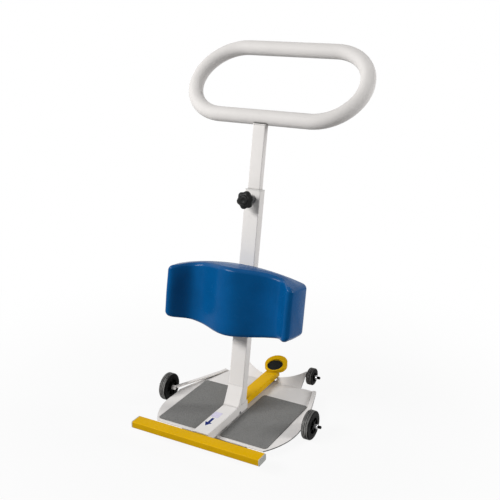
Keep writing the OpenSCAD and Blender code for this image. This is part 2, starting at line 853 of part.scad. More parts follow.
module axle_caps() {
    color("dimgray") for (side = [-1, 1]) on_side(side) {
        translate([axle_out, wheel_y, axle_z]) axle_cap();
        translate([rear_axle_out, rear_y, rear_z]) axle_cap();
    }
}

// A tyre about the X axis, with rounded shoulders and grooves round its tread
module tyre(r, w, rim) {
    shoulder_r = (r - rim) * shoulder_share;
    rotate([0, 90, 0]) rotate_extrude($fn = 64) difference() {
        union() {
            translate([rim, -w / 2]) square([r - rim - shoulder_r, w]);
            translate([rim, shoulder_r - w / 2]) square([r - rim, w - 2 * shoulder_r]);
            for (s = [-1, 1]) translate([r - shoulder_r, s * (w / 2 - shoulder_r)])
                circle(r = shoulder_r, $fn = 24);
        }
        for (g = groove_shares) translate([r - groove_depth, g * w - groove_w / 2])
            square([2 * groove_depth, groove_w]);
    }
}

// A dished hub about the X axis
module hub(w, rim, axle) {
    wall = (rim - axle / 2) * hub_wall_share;
    rotate([0, 90, 0]) rotate_extrude($fn = 64) difference() {
        translate([axle / 2 + run_fit, -w / 2]) square([rim - set_fit - axle / 2 - run_fit, w]);
        for (s = [-1, 1]) translate([axle / 2 + wall, s * w / 2 - hub_dish])
            square([rim - axle / 2 - 2 * wall, 2 * hub_dish]);
    }
}

module side_tyre(side) {
    color("dimgray") translate([side * wheel_x, wheel_y, axle_z]) tyre(wheel_r, wheel_w, rim_r);
}

module side_hub(side) {
    color("gray") translate([side * wheel_x, wheel_y, axle_z]) hub(wheel_w, rim_r, axle_d);
}

module rear_tyre(side) {
    color("dimgray") translate([side * rear_x, rear_y, rear_z]) tyre(rear_r, rear_w, rear_rim_r);
}

module rear_hub(side) {
    color("gray") translate([side * rear_x, rear_y, rear_z]) hub(rear_w, rear_rim_r, rear_axle_d);
}

// Inner tube and hand ring

module mast() {
    mast_end = ring_s - mast_end_share * ring_r;
    color("gainsboro") at_column() difference() {
        union() {
            translate([0, 0, mast_foot]) linear_extrude(mast_end - mast_foot)
                tube_section(mast_w, mast_d, mast_wall);
            translate([0, 0, mast_end - mast_end_t]) linear_extrude(mast_end_t)
                rounded_rect(mast_w, mast_d, tube_corner_r);
        }
        translate([0, ring_setback, ring_s]) bar_x(ring_r + set_fit, -mast_w, mast_w);
    }
}

module mast_glide() {
    fill_w = col_w - 2 * col_wall - 2 * free_gap;
    fill_d = col_d - 2 * col_wall - 2 * free_gap;
    color("darkgray") at_column() {
        translate([0, 0, mast_foot - glide_l]) linear_extrude(glide_l)
            rounded_rect(fill_w, fill_d, tube_corner_r);
        translate([0, 0, mast_foot]) linear_extrude(spigot_l)
            rounded_rect(mast_w - 2 * mast_wall - 2 * set_fit, mast_d - 2 * mast_wall - 2 * set_fit,
                tube_corner_r);
    }
}

// Racetrack of round tube in X and Z, its lower side through the origin
module ring_loop(r) {
    for (z = [0, 2 * ring_end_r]) translate([0, 0, z]) bar_x(r, -ring_straight / 2, ring_straight / 2);
    for (side = [-1, 1]) on_side(side) translate([ring_straight / 2, 0, ring_end_r])
        rotate([90, 0, 0]) rotate([0, 0, -90]) rotate_extrude(angle = 180, $fn = 96)
        translate([ring_end_r, 0]) circle(r = r, $fn = 48);
}

module hand_ring() {
    color("gainsboro") at_column() translate([0, ring_setback, ring_s])
        rotate([col_lean - ring_lean, 0, 0]) difference() {
            ring_loop(ring_r);
            ring_loop(ring_r - ring_wall);
        }
}

// Clamp knob

module clamp_knob() {
    color("dimgray") at_knob() difference() {
        union() {
            translate([0, 0, knob_low]) cylinder(d = knob_neck_d, h = knob_neck_l);
            translate([0, 0, knob_star]) difference() {
                cylinder(d = knob_d, h = knob_t);
                for (i = [0 : knob_lobes - 1]) rotate([0, 0, knob_turn + 360 * (i + 1 / 2) / knob_lobes])
                    translate([knob_d / 2 + knob_hollow_r - knob_hollow_depth, 0, -cut])
                    cylinder(r = knob_hollow_r, h = knob_t + 2 * cut);
            }
            translate([0, 0, knob_face]) cylinder(d = knob_cap_d, h = knob_cap_h);
        }
        translate([0, 0, knob_low - cut])
            cylinder(d = stud_d + 2 * set_fit, h = knob_neck_l + knob_t / 2 + cut);
    }
}

module clamp_stud() {
    color("silver") at_knob() translate([0, 0, stud_tip])
        cylinder(d = stud_d, h = knob_star + knob_t / 2 - set_fit - stud_tip);
}

// Front bar, slide tube and pedal

module front_bar() {
    half = bar_l / 2 - bar_cap_t;
    color("gold") translate([-half, bar_back - bar_w / 2, arm_mid]) rotate([90, 0, 90])
        linear_extrude(2 * half) tube_section(bar_w, bar_h, bar_wall);
}

module bar_cap(side) {
    fill = 2 * bar_wall + 2 * set_fit;
    color("lightgray") on_side(side)
        translate([bar_l / 2 - bar_cap_t, bar_back - bar_w / 2, arm_mid]) rotate([90, 0, 90]) {
            linear_extrude(bar_cap_t) rounded_rect(bar_w, bar_h, tube_corner_r);
            translate([0, 0, -plug_depth]) linear_extrude(plug_depth) difference() {
                rounded_rect(bar_w - fill, bar_h - fill, tube_corner_r);
                square([bar_w - fill - 2 * plug_wall, bar_h - fill - 2 * plug_wall], center = true);
            }
        }
}

module slide_tube() {
    slot_r = screw_d / 2 + free_gap;
    color("gold") difference() {
        along_y(bar_back, arm_back, arm_mid) tube_section(bar_w, bar_h, bar_wall);
        on_side(-1) translate([bar_w / 2 - 2 * bar_wall, -stop_y, arm_mid + stop_rise])
            rotate([90, 0, 90]) linear_extrude(4 * bar_wall) {
                for (y = [0, slide_travel]) translate([y, 0]) circle(r = slot_r);
                translate([0, -slot_r]) square([slide_travel, 2 * slot_r]);
            }
    }
}

module slide_plug() {
    fill = 2 * bar_wall + 2 * set_fit;
    color("dimgray") {
        along_y(arm_back, arm_back + bar_cap_t, arm_mid) rounded_rect(bar_w, bar_h, tube_corner_r);
        along_y(arm_back - plug_depth, arm_back, arm_mid) difference() {
            rounded_rect(bar_w - fill, bar_h - fill, tube_corner_r);
            square([bar_w - fill - 2 * plug_wall, bar_h - fill - 2 * plug_wall], center = true);
        }
    }
}

// Round cup on the slide tube's end, with a rim that rises to the back
module pedal_cup() {
    color("gold") difference() {
        translate([0, pedal_y, arm_top]) cylinder(d = pedal_d, h = pedal_d, $fn = 64);
        above_plane(rim_front_y, rim_front_z, pedal_rim_angle, 2 * pedal_d);
        translate([0, arm_back, arm_top]) rotate([pedal_under_angle, 0, 0])
            translate([-pedal_d, 0, -pedal_d]) cube([2 * pedal_d, 2 * pedal_d, pedal_d]);
        intersection() {
            translate([0, pedal_y - pocket_shift, 0])
                cylinder(d = pocket_d, h = arm_top + pedal_d, $fn = 64);
            above_plane(rim_front_y, floor_front_z, pedal_floor_angle, 2 * pedal_d);
        }
    }
}

module pedal_rubber() {
    color("dimgray") difference() {
        intersection() {
            translate([0, pedal_y - pocket_shift, 0])
                cylinder(d = pocket_d - 2 * set_fit, h = arm_top + pedal_d, $fn = 64);
            above_plane(rim_front_y, floor_front_z, pedal_floor_angle, 2 * pedal_d);
        }
        above_plane(rim_front_y, floor_front_z + pedal_rubber_t / cos(pedal_floor_angle),
            pedal_floor_angle, 2 * pedal_d);
    }
}

floor_grip();
floor_disc();
lower_race();
centre_pin();
pin_clip();
bearing_plate();
centre_bush();
base_plate();
wheel_strut(-1);  // wheel_strut_left
wheel_strut(1);  // wheel_strut_right
foot_pad(-1);  // foot_pad_left
foot_pad(1);  // foot_pad_right
beam();
guide_front();
guide_back();
guide_screws();
column();
gusset();
column_sleeve();
clamp_boss();
pad_plate();
pad_bolts();
knee_pad();
axle_eye(-1);  // axle_eye_left
axle_eye(1);  // axle_eye_right
side_axle(-1);  // side_axle_left
side_axle(1);  // side_axle_right
rear_block(-1);  // rear_block_left
rear_block(1);  // rear_block_right
rear_axle(-1);  // rear_axle_left
rear_axle(1);  // rear_axle_right
axle_collars();
axle_caps();
side_tyre(-1);  // side_tyre_left
side_tyre(1);  // side_tyre_right
side_hub(-1);  // side_hub_left
side_hub(1);  // side_hub_right
rear_tyre(-1);  // rear_tyre_left
rear_tyre(1);  // rear_tyre_right
rear_hub(-1);  // rear_hub_left
rear_hub(1);  // rear_hub_right
mast();
mast_glide();
hand_ring();
clamp_knob();
clamp_stud();
front_bar();
bar_cap(-1);  // bar_cap_left
bar_cap(1);  // bar_cap_right
slide_tube();
slide_plug();
pedal_cup();
pedal_rubber();
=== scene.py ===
"""Looks of the patient turner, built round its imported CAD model. Metres, the CAD's own frame."""

import json
import math

import bmesh
import bpy
from mathutils import Matrix, Vector


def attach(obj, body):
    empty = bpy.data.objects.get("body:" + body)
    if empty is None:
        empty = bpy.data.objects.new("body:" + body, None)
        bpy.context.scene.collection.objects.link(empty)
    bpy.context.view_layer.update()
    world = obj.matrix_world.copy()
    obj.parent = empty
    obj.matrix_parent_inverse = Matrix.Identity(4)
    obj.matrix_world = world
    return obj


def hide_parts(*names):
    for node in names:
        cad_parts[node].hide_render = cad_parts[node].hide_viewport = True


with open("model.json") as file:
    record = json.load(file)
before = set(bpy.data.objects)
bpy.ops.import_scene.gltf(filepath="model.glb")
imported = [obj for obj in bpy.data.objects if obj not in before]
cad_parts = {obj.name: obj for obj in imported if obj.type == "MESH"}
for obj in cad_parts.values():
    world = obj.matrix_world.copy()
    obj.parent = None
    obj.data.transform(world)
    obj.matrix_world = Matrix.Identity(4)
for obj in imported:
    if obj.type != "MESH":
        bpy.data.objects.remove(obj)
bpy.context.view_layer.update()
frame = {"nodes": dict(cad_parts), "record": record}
NODES = frame["nodes"]
MM = 0.001

# Sizes repeated from the CAD source, in millimetres. Only the pad differs: here it has a slight
# crown, deeper hollows and thinner inner flanks of its horns.
LEAN = math.radians(10.2)
COL_Y, COL_W, COL_D = 23.5, 50.0, 30.0
TUBE_CORNER = 3.0
MAST_W, MAST_D = 40.0, 20.0
PLATE_TOP, BEAM_TOP, ARM_TOP = 26.5, 56.5, 53.0
BEAM_SIDE = 25.0
GUSSET_FRONT, GUSSET_TOP = -3.0, 112.0
KNOB_S = 673.0
PAD = dict(w=410.0, horn=105.0, channel=52.0, bump=95.0, channel_x=122.0, horn_x=192.0, flank=1.6,
           mid_h=200.0, end_h=148.0, edge=13.0, crown=1.4, s=383.0, back=19.3)
RING = dict(r=22.2, s=908.5, setback=12.2)
STRUT = dict(x=160.5, y=247.0, w=11.0, foot=24.0, along=(0.2988, -0.9543))
EYE_R = 7.0
PEDAL = dict(y=295.0, r=37.0, pocket_y=287.0, floor=1.2, slope=math.tan(math.radians(14)))
SIDE_WHEEL = dict(centre=(245.8, 32.0, 44.4), reach=(11.0, 25.0), width=23.0, dish=5.0, ribs=6)
REAR_WHEEL = dict(centre=(129.5, 294.18, 53.87), reach=(6.6, 15.3), width=20.0, dish=5.0, ribs=5)


def column_matrix():
    """Frame of the leaning column: local Z runs up its axis and local -Y out of its front."""
    return Matrix.Translation((0, COL_Y * MM, 0)) @ Matrix.Rotation(-LEAN, 4, "X")


def knob_matrix():
    """Frame of the clamp knob: local Z runs out of the column's front face."""
    place = Matrix.Translation((0, -COL_D / 2 * MM, KNOB_S * MM))
    return column_matrix() @ place @ Matrix.Rotation(math.pi / 2, 4, "X")


# Materials

# Most values of a noise texture lie between these two
NOISE_SPAN = (0.3, 0.7)


class Nodes:
    """A material's node tree, with short calls for what is used here."""

    def __init__(self, name):
        self.mat = bpy.data.materials.new(name)
        self.mat.use_nodes = True
        self.tree = self.mat.node_tree
        self.bsdf = self.tree.nodes["Principled BSDF"]
        self.coords = self.tree.nodes.new("ShaderNodeTexCoord").outputs["Object"]

    def link(self, out, into):
        self.tree.links.new(out, into)

    def noise(self, scale, detail, rough=0.5, coords=None):
        n = self.tree.nodes.new("ShaderNodeTexNoise")
        n.inputs["Scale"].default_value = scale
        n.inputs["Detail"].default_value = detail
        n.inputs["Roughness"].default_value = rough
        self.link(coords or self.coords, n.inputs["Vector"])
        return n.outputs["Fac"]

    def voronoi(self, scale, feature="F1"):
        n = self.tree.nodes.new("ShaderNodeTexVoronoi")
        n.feature = feature
        n.inputs["Scale"].default_value = scale
        self.link(self.coords, n.inputs["Vector"])
        return n.outputs["Distance"]

    def stretched(self, scale):
        n = self.tree.nodes.new("ShaderNodeMapping")
        n.inputs["Scale"].default_value = scale
        self.link(self.coords, n.inputs["Vector"])
        return n.outputs["Vector"]

    def range(self, value, low, high, to_low=0.0, to_high=1.0):
        n = self.tree.nodes.new("ShaderNodeMapRange")
        n.inputs["From Min"].default_value = low
        n.inputs["From Max"].default_value = high
        n.inputs["To Min"].default_value = to_low
        n.inputs["To Max"].default_value = to_high
        self.link(value, n.inputs["Value"])
        return n.outputs["Result"]

    def math(self, op, a, b):
        n = self.tree.nodes.new("ShaderNodeMath")
        n.operation = op
        for socket, value in zip(n.inputs, (a, b)):
            if isinstance(value, (int, float)):
                socket.default_value = value
            else:
                self.link(value, socket)
        return n.outputs["Value"]

    def times(self, a, b):
        return self.math("MULTIPLY", a, b)

    def mix(self, factor, a, b):
        n = self.tree.nodes.new("ShaderNodeMix")
        n.data_type = "RGBA"
        self.link(factor, n.inputs["Factor"])
        # The colour sockets share their names with those of other data types
        for socket, value in ((n.inputs[6], a), (n.inputs[7], b)):
            if isinstance(value, tuple):
                socket.default_value = (*value, 1.0)
            else:
                self.link(value, socket)
        return n.outputs[2]

    def bump(self, height, strength, distance, under=None):
        n = self.tree.nodes.new("ShaderNodeBump")
        n.inputs["Strength"].default_value = strength
        n.inputs["Distance"].default_value = distance
        self.link(height, n.inputs["Height"])
        if under is not None:
            self.link(under, n.inputs["Normal"])
        return n.outputs["Normal"]

    def edges(self, radius):
        """1 along edges and 0 on flat faces."""
        flat, sharp = 0.99, 0.75
        bevel = self.tree.nodes.new("ShaderNodeBevel")
        bevel.samples = 4
        bevel.inputs["Radius"].default_value = radius
        geometry = self.tree.nodes.new("ShaderNodeNewGeometry")
        dot = self.tree.nodes.new("ShaderNodeVectorMath")
        dot.operation = "DOT_PRODUCT"
        self.link(bevel.outputs["Normal"], dot.inputs[0])
        self.link(geometry.outputs["Normal"], dot.inputs[1])
        return self.range(dot.outputs["Value"], flat, sharp)

    def crevice(self, distance):
        """1 deep in corners and joints, 0 in the open."""
        in_the_open, shut_in = 0.9, 0.45
        n = self.tree.nodes.new("ShaderNodeAmbientOcclusion")
        n.samples = 8
        n.inputs["Distance"].default_value = distance
        return self.range(n.outputs["AO"], in_the_open, shut_in)

    def facing(self, axis):
        """How squarely the surface faces along an axis of its own object, either way."""
        dot = self.tree.nodes.new("ShaderNodeVectorMath")
        dot.operation = "DOT_PRODUCT"
        self.link(self.coords.node.outputs["Normal"], dot.inputs[0])
        dot.inputs[1].default_value = axis
        return self.math("ABSOLUTE", dot.outputs["Value"], 0.0)

    def set(self, **values):
        for name, value in values.items():
            socket = self.bsdf.inputs[name.replace("_", " ")]
            if isinstance(value, (int, float)):
                socket.default_value = value
            else:
                self.link(value, socket)
        return self.mat


def shade(rgb, k):
    """A colour made darker or lighter."""
    return tuple(min(1.0, c * k) for c in rgb)


def grey(value):
    return (value, value, value)


def powder_coat(name, rgb, rough, wear_and_highlight, shine, edge_wear_and_highlight=0.35, rim_shade=0.0, front_shade=0.0, peel=0.10):
    """Sprayed and baked paint: orange peel, faint clouding, scuffs, rubbed edges, painted shade
    and highlight.

    wear_and_highlight is the colour of scuffs and rubbed edges: where it is darker than the paint
    it is wear, where it is lighter it is a painted highlight along the edges.
    edge_wear_and_highlight is how far the edges take it. Corners and joints are darkened as
    painted shade. rim_shade is how far the upright side edges of a plate are darkened as painted
    shade, front_shade how far faces to the front and back are darkened as painted shade, and peel
    the strength of the orange peel.
    """
    n = Nodes(name)
    cloud = n.range(n.noise(9, detail=4), *NOISE_SPAN)
    scuff = n.times(n.range(n.noise(55, detail=6, rough=0.65), 0.60, 0.74), 0.22)
    rubbed_and_highlit = n.times(n.edges(1.6 * MM), n.range(n.noise(160, detail=4), 0.45, 0.62))
    # Painted shade: corners and joints are darkened towards a dark tone of the colour for wear
    crevice_shade = n.times(n.crevice(7 * MM), 0.75)
    colour = n.mix(cloud, shade(rgb, 0.965), shade(rgb, 1.025))
    colour = n.mix(scuff, colour, wear_and_highlight)
    # Edges take the colour for wear: real wear where it is darker than the paint, painted
    # highlight where lighter
    colour = n.mix(n.times(rubbed_and_highlit, edge_wear_and_highlight), colour, wear_and_highlight)
    colour = n.mix(crevice_shade, colour, shade(wear_and_highlight, 0.28))
    # Painted shade: the upright side edges of a plate are darkened in patches
    if rim_shade:
        steep = n.range(n.facing((0, 0, 1)), 0.55, 0.30)
        sideways = n.range(n.facing((1, 0, 0)), 0.08, 0.30)
        patchy = n.range(n.noise(70, detail=4), 0.25, 0.55, 0.7 * rim_shade, rim_shade)
        colour = n.mix(n.times(n.times(steep, sideways), patchy), colour, shade(wear_and_highlight, 0.12))
    # Painted shade: faces to the front and back are darkened in patches
    if front_shade:
        front_shade_mask = n.range(n.facing((0, 1, 0)), 0.6, 0.95, 0.0, front_shade)
        patchy = n.range(n.noise(40, detail=4), 0.2, 0.6, 0.7, 1.0)
        colour = n.mix(n.times(front_shade_mask, patchy), colour, shade(rgb, 0.45))
    waves = n.bump(n.noise(36, detail=2), strength=0.05, distance=2 * MM)
    normal = n.bump(n.noise(620, detail=2), strength=peel, distance=0.6 * MM, under=waves)
    gloss = n.range(n.noise(22, detail=5, rough=0.6), *NOISE_SPAN, rough - 0.05, rough + 0.08)
    return n.set(Base_Color=colour, Roughness=gloss, Normal=normal, Specular_IOR_Level=shine)


def bare_steel(name, rgb, rough, grain=(40, 900, 900)):
    """Turned or ground steel with fine lines across it."""
    n = Nodes(name)
    lines = n.noise(1.0, detail=4, rough=0.6, coords=n.stretched(grain))
    cloud = n.range(n.noise(30, detail=4), *NOISE_SPAN)
    return n.set(Base_Color=n.mix(cloud, shade(rgb, 0.86), shade(rgb, 1.06)),
                 Metallic=1.0,
                 Normal=n.bump(lines, strength=0.12, distance=0.4 * MM),
                 Roughness=n.range(lines, *NOISE_SPAN, rough - 0.07, rough + 0.10))


def moulded(name, rgb, dust, rough, shine, grain, depth, rubbed_and_highlit=None):
    """Moulded plastic or rubber: fine spark-eroded grain, a little dust, optional painted
    highlight on edges.
    """
    n = Nodes(name)
    colour = n.mix(n.range(n.noise(24, detail=5, rough=0.6), 0.42, 0.75), rgb, dust)
    # Painted highlight: edges are lightened towards the given colour
    if rubbed_and_highlit:
        colour = n.mix(n.times(n.edges(1.8 * MM), 0.9), colour, rubbed_and_highlit)
    gloss = n.range(n.noise(45, detail=4), *NOISE_SPAN, rough - 0.06, rough + 0.08)
    normal = n.bump(n.noise(grain, detail=3), strength=depth, distance=0.5 * MM)
    return n.set(Base_Color=colour, Roughness=gloss, Normal=normal, Specular_IOR_Level=shine)


def tyre_rubber(name, rgb, dust):
    """Black rubber: clean side walls; a tread greyed in lines round it, part dust, part painted
    sheen.
    """
    n = Nodes(name)
    round_the_wheel = n.stretched((420, 14, 14))
    lines = n.range(n.noise(1.0, detail=3, rough=0.6, coords=round_the_wheel), 0.34, 0.60)
    patches = n.range(n.noise(38, detail=4, rough=0.6), 0.35, 0.70, 0.35, 1.0)
    tread = n.range(n.facing((1, 0, 0)), 0.75, 0.30)
    grain = n.bump(n.noise(700, detail=3), strength=0.2, distance=0.5 * MM)
    # The grey lines on the tread are part floor dust and part painted sheen
    return n.set(Base_Color=n.mix(n.times(tread, n.times(lines, patches)), rgb, dust),
                 Normal=n.bump(lines, strength=0.25, distance=0.6 * MM, under=grain),
                 Specular_IOR_Level=0.03,
                 Roughness=n.range(n.noise(45, detail=4), *NOISE_SPAN, 0.34, 0.48))


def grit_sheet(name, rgb):
    """Anti-slip sheet: coarse mineral grains in a dark grey binder."""
    n = Nodes(name)
    grains = n.voronoi(560)
    fine = n.noise(1500, detail=3, rough=0.7)
    coarse_tone = n.range(grains, 0.1, 0.9, 0.0, 0.6)
    fine_tone = n.range(fine, *NOISE_SPAN, 0.0, 0.4)
    colour = n.mix(n.math("ADD", coarse_tone, fine_tone), shade(rgb, 1.45), shade(rgb, 0.62))
    scuffed = n.range(n.noise(13, detail=5, rough=0.6), 0.55, 0.75, 0.0, 0.35)
    colour = n.mix(scuffed, colour, shade(rgb, 1.35))
    coarse = n.bump(grains, strength=0.7, distance=1.2 * MM)
    normal = n.bump(fine, strength=0.5, distance=0.8 * MM, under=coarse)
    return n.set(Base_Color=colour, Roughness=0.86, Normal=normal)


def moulded_skin(name, rgb):
    """Foam with its own moulded skin: leather grain, faint clouds, round edges rubbed shiny."""
    n = Nodes(name)
    cloud = n.range(n.noise(14, detail=4, rough=0.55), *NOISE_SPAN)
    waves = n.bump(n.noise(30, detail=3), strength=0.06, distance=3 * MM)
    normal = n.bump(n.voronoi(1100, "SMOOTH_F1"), strength=0.10, distance=0.5 * MM, under=waves)
    tilt = n.facing((0, 0, 1))
    edge = n.times(n.range(tilt, 0.30, 0.50), n.range(tilt, 0.96, 0.86))
    return n.set(Base_Color=n.mix(cloud, shade(rgb, 0.90), shade(rgb, 1.10)),
                 Normal=normal,
                 Specular_IOR_Level=n.range(edge, 0.0, 1.0, 0.04, 0.13),
                 Roughness=n.range(n.noise(60, detail=4), *NOISE_SPAN, 0.19, 0.29))


def decal(name, rgb):
    """Printed film: flat ink with a faint print grain."""
    n = Nodes(name)
    print_grain = n.range(n.noise(400, detail=3), 0.4, 0.7)
    return n.set(Base_Color=n.mix(print_grain, rgb, shade(rgb, 1.25)),
                 Roughness=0.4, Specular_IOR_Level=0.05,
                 Normal=n.bump(n.noise(300, detail=2), strength=0.05, distance=0.3 * MM))


WHITE = (0.745, 0.72, 0.70)
WORN_WHITE = (0.52, 0.51, 0.49)
YELLOW = (0.70, 0.40, 0.001)
# Lighter than the yellow: the colour of scuffs and of a painted highlight along edges
YELLOW_WEAR_AND_HIGHLIGHT = (0.88, 0.62, 0.07)

# One material for each slot of the record
MATERIALS = {
    "frame_white": powder_coat("frame_white", WHITE, 0.34, WORN_WHITE, shine=0.03),
    # Yellow: edges lightened as painted highlight, faces to the front and back darkened as painted
    # shade
    "yellow_paint": powder_coat("yellow_paint", YELLOW, 0.30, YELLOW_WEAR_AND_HIGHLIGHT, shine=0.045, edge_wear_and_highlight=0.9,
                                front_shade=0.40),
    "bright_steel": bare_steel("bright_steel", (0.72, 0.72, 0.73), 0.26),
    "dark_screws": bare_steel("dark_screws", (0.16, 0.16, 0.17), 0.38, grain=(300, 300, 300)),
    "bronze": bare_steel("bronze", (0.62, 0.43, 0.18), 0.34),
    "black_rubber": tyre_rubber("black_rubber", grey(0.003), dust=(0.46, 0.45, 0.435)),
    "black_plastic": moulded("black_plastic", grey(0.002), dust=grey(0.005), rough=0.30,
                             shine=0.015, grain=1100, depth=0.12),
    # Pale plastic: its edges are lightened as a painted highlight
    "pale_plastic": moulded("pale_plastic", (0.36, 0.37, 0.345), dust=(0.31, 0.31, 0.29),
                            rough=0.42, shine=0.3, grain=900, depth=0.10,
                            rubbed_and_highlit=(0.78, 0.78, 0.75)),
    "grit_grey": grit_sheet("grit_grey", (0.163, 0.162, 0.156)),
    "pad_blue": moulded_skin("pad_blue", (0.0013, 0.072, 0.222)),
}

# Materials of single pieces
INK = decal("ink_navy", (0.004, 0.014, 0.13))
FILM = decal("film_white", (0.80, 0.81, 0.82))
LILAC = decal("film_lilac", (0.58, 0.55, 0.68))
# Plate: upright side edges darkened as painted shade
PLATE = powder_coat("plate_white", WHITE, 0.34, WORN_WHITE, shine=0.12, rim_shade=0.9)
# The hand ring: the frame white made darker, as painted shade
RING_SHADED_COAT = powder_coat("ring_white_shaded", shade(WHITE, 0.92), 0.40, (0.50, 0.49, 0.47), shine=0.03,
                        peel=0.04)
SLEEVE = moulded("sleeve_white", (0.66, 0.65, 0.63), dust=(0.58, 0.57, 0.55), rough=0.42,
                 shine=0.12, grain=900, depth=0.10)
KNOB = moulded("knob_plastic", grey(0.005), dust=grey(0.010), rough=0.36, shine=0.16, grain=1100,
               depth=0.15)
TREAD = moulded("tread_rubber", (0.007, 0.008, 0.007), dust=(0.014, 0.015, 0.014), rough=0.5,
                shine=0.05, grain=700, depth=0.22)
OWN = {"column_sleeve": SLEEVE, "base_plate": PLATE, "hand_ring": RING_SHADED_COAT}


# Mesh helpers


def add(name, verts, faces, material, body, smooth=True, matrix=None):
    """A new mesh piece. Its points are in millimetres, in the frame that matrix gives."""
    mesh = bpy.data.meshes.new(name)
    place = matrix or Matrix.Identity(4)
    mesh.from_pydata([place @ (Vector(v) * MM) for v in verts], [], faces)
    mesh.validate()
    turned_out = bmesh.new()
    turned_out.from_mesh(mesh)
    bmesh.ops.recalc_face_normals(turned_out, faces=turned_out.faces)
    turned_out.to_mesh(mesh)
    turned_out.free()
    mesh.polygons.foreach_set("use_smooth", [smooth] * len(mesh.polygons))
    mesh.materials.append(material)
    piece = bpy.data.objects.new(name, mesh)
    bpy.context.scene.collection.objects.link(piece)
    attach(piece, body)
    return piece


def loft(rings, closed=False):
    """Points and faces of a skin over rings of equal length, capped at both ends unless closed."""
    n = len(rings[0])
    verts = [p for ring in rings for p in ring]
    count = len(rings)
    faces = []
    for i in range(count if closed else count - 1):
        j = (i + 1) % count
        for k in range(n):
            m = (k + 1) % n
            faces.append((i * n + k, i * n + m, j * n + m, j * n + k))
    if not closed:
        faces.append(tuple(range(n - 1, -1, -1)))
        faces.append(tuple((count - 1) * n + k for k in range(n)))
    return verts, faces


def gather(skins):
    """The points and faces of several skins in one."""
    verts, faces = [], []
    for points, quads in skins:
        base = len(verts)
        verts += points
        faces += [tuple(base + k for k in q) for q in quads]
    return verts, faces


def lathe(profile, steps, radius_at):
    """Rings of (radius, height) turned about Z and shaped by radius_at(angle, radius, height)."""
    rings = []
    for r, h in profile:
        ring = []
        for k in range(steps):
            a = 2 * math.pi * k / steps
            q = radius_at(a, r, h)
            ring.append((q * math.cos(a), q * math.sin(a), h))
        rings.append(ring)
    return rings


BEAD = dict(step=0.9, sides=8, ripple=0.13, pitch=2.7, end=0.35)
# No bead runs this way, so that every bead's sections can be squared to it
OFF_EVERY_BEAD = Vector((0.31, 0.52, 0.79))


def weld(name, points, body, radius, closed=False, matrix=None, slot="frame_white"):
    """A rippled bead along a line of points, under the same paint as what it joins."""
    pts = [Vector(p) for p in points]
    if closed:
        pts.append(pts[0])
    line = [pts[0]]
    for a, b in zip(pts, pts[1:]):
        cuts = max(1, round((b - a).length / BEAD["step"]))
        line += [a.lerp(b, i / cuts) for i in range(1, cuts + 1)]
    if closed:
        line.pop()
    turns = [2 * math.pi * k / BEAD["sides"] for k in range(BEAD["sides"])]
    rings, count, run = [], len(line), 0.0
    for i, p in enumerate(line):
        before = line[i - 1] if i or closed else p
        after = line[(i + 1) % count] if i < count - 1 or closed else p
        along = (after - before).normalized()
        side = along.cross(OFF_EVERY_BEAD).normalized()
        up = side.cross(along)
        run += (p - before).length if i else 0.0
        q = radius * (1 + BEAD["ripple"] * math.sin(run * 2 * math.pi / BEAD["pitch"]))
        if not closed and i in (0, count - 1):
            q *= BEAD["end"]
        rings.append([p + side * q * math.cos(t) + up * q * math.sin(t) for t in turns])
    verts, faces = loft(rings, closed)
    add(name, verts, faces, MATERIALS[slot], body, matrix=matrix)


# CAD nodes: each takes its slot's material or its own, joined corners and softened edges

# Widths of the softened edges in millimetres
SOFTEN_MOST = 0.25
SOFTEN = {
    "base_plate": 0.9, "wheel_strut_left": 0.9, "wheel_strut_right": 0.9, "foot_pad_left": 0.4,
    "foot_pad_right": 0.4, "pedal_cup": 1.1, "bar_cap_left": 0.8, "bar_cap_right": 0.8,
    "pad_plate": 0.8, "gusset": 0.9, "axle_eye_left": 1.0, "axle_eye_right": 1.0,
    "rear_block_left": 0.8, "rear_block_right": 0.8, "column_sleeve": 0.6, "clamp_boss": 0.8,
    "axle_collars": 1.6, "pad_bolts": 0.6, "side_axle_left": 0.6, "side_axle_right": 0.6,
    "rear_axle_left": 0.6, "rear_axle_right": 0.6, "beam": 0.3, "column": 0.3, "mast": 0.3,
    "front_bar": 0.3, "slide_tube": 0.3, "floor_disc": 0.8, "floor_grip": 0.8, "slide_plug": 0.6,
    "side_tyre_left": 0.4, "side_tyre_right": 0.4, "rear_tyre_left": 0.4, "rear_tyre_right": 0.4,
}
# Angles in degrees from which an edge is softened
EDGE_MOST = 32
EDGE = {"base_plate": 18}
JOIN_WITHIN = 0.02


def dress_nodes():
    for row in frame["record"]["subparts"]:
        name = row["node"]
        node = NODES[name]
        mesh = node.data
        mesh.materials.clear()
        mesh.materials.append(OWN.get(name, MATERIALS[row["material_slot"]]))
        for shading in ("custom_normal", "sharp_edge"):
            if shading in mesh.attributes:
                mesh.attributes.remove(mesh.attributes[shading])
        mesh.polygons.foreach_set("use_smooth", [True] * len(mesh.polygons))
        joined = node.modifiers.new("Joined", "WELD")
        joined.merge_threshold = JOIN_WITHIN * MM
        soft = node.modifiers.new("Softened", "BEVEL")
        soft.width = SOFTEN.get(name, SOFTEN_MOST) * MM
        soft.segments = 2
        soft.limit_method = "ANGLE"
        soft.angle_limit = math.radians(EDGE.get(name, EDGE_MOST))
        soft.harden_normals = True
        soft.use_clamp_overlap = True


# Knee pad

PAD_CORNER_STEPS, PAD_FLAT_STEPS, PAD_LENGTH_STEPS = 9, 8, 96
# Number of the back among a section's four sides, which start with the top
PAD_BACK_SIDE = 1


def ease(u):
    """From 0 to 1 with soft ends."""
    return (1 - math.cos(math.pi * min(1.0, max(0.0, u)))) / 2


